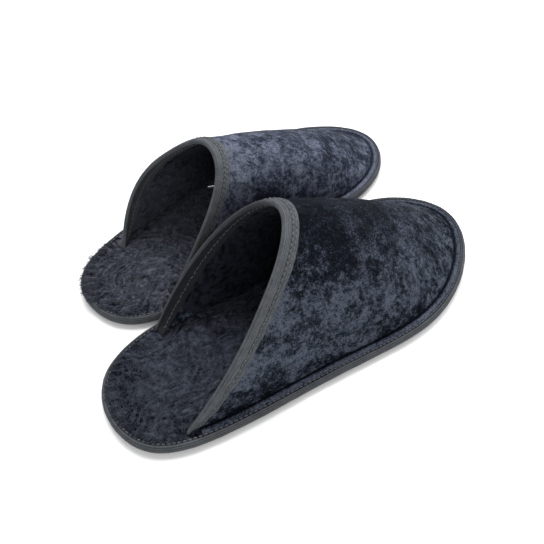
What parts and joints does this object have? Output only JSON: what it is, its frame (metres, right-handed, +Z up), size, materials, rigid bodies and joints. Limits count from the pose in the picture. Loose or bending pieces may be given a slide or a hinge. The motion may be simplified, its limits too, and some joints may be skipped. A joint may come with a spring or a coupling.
{
  "type": "pair of spa slippers",
  "caption": "Closed-toe open-heel slippers with crushed-velvet uppers, a folded ribbed collar tape, fleece foot beds and a tape-bound flexible sole.",
  "frame": {"origin": "centre of the pair's box, on the floor", "axes": "+X towards the toes, +Y towards the wearer's left, +Z up"},
  "size_m": [0.314, 0.227, 0.0912],
  "materials": {
    "crushed_velvet": "crushed pile, dark slate with a blue-grey sheen",
    "ribbed_tape": "fine ribbed grosgrain, grey",
    "edge_tape": "fine ribbed binding, dark grey",
    "footbed_fleece": "clumped short fleece, charcoal",
    "lining_fleece": "short brushed fleece, near black",
    "foam_interlining": "open-cell foam sheet, grey",
    "midsole_foam": "closed-cell foam, off white",
    "insole_board": "fibre board, tan",
    "outsole_eva": "textured foam rubber, black",
    "collar_thread": "twisted polyester thread, grey",
    "edge_thread": "twisted polyester thread, grey"
  },
  "bodies": {
    "left_forefoot": {"left_outsole_fore": "outsole_eva", "left_midsole_fore": "midsole_foam", "left_insole_board_fore": "insole_board", "left_fleece_sock_fore": "footbed_fleece", "left_velvet_upper": "crushed_velvet", "left_interlining_fore": "foam_interlining", "left_fleece_lining": "lining_fleece", "left_edge_tape": "edge_tape", "left_edge_thread": "edge_thread"},
    "left_heel": {"left_outsole_heel": "outsole_eva", "left_midsole_heel": "midsole_foam", "left_insole_board_heel": "insole_board", "left_fleece_sock_heel": "footbed_fleece", "left_interlining_heel": "foam_interlining", "left_collar_tape": "ribbed_tape", "left_collar_thread": "collar_thread"},
    "right_forefoot": {"right_outsole_fore": "outsole_eva", "right_midsole_fore": "midsole_foam", "right_insole_board_fore": "insole_board", "right_fleece_sock_fore": "footbed_fleece", "right_velvet_upper": "crushed_velvet", "right_interlining_fore": "foam_interlining", "right_fleece_lining": "lining_fleece", "right_edge_tape": "edge_tape", "right_edge_thread": "edge_thread"},
    "right_heel": {"right_outsole_heel": "outsole_eva", "right_midsole_heel": "midsole_foam", "right_insole_board_heel": "insole_board", "right_fleece_sock_heel": "footbed_fleece", "right_interlining_heel": "foam_interlining", "right_collar_tape": "ribbed_tape", "right_collar_thread": "collar_thread"}
  },
  "joints": [
    {"name": "left_sole_flex", "type": "hinge", "parent": "left_forefoot", "child": "left_heel", "pos_m": [0.05663, 0.05336, 0.0081], "axis": [-0.0872, 0.9962, 0], "range_deg": [0, 25], "deforming": ["left_velvet_upper", "left_fleece_lining", "left_edge_tape", "left_edge_thread"]},
    {"name": "right_sole_flex", "type": "hinge", "parent": "right_forefoot", "child": "right_heel", "pos_m": [0.02662, -0.05336, 0.0081], "axis": [0.0872, 0.9962, 0], "range_deg": [0, 25], "deforming": ["right_velvet_upper", "right_fleece_lining", "right_edge_tape", "right_edge_thread"]},
    {"name": "right_lift", "type": "slide", "parent": "left_forefoot", "child": "right_forefoot", "axis": [0, 0, 1], "range_m": [0, 0.12]}
  ]
}
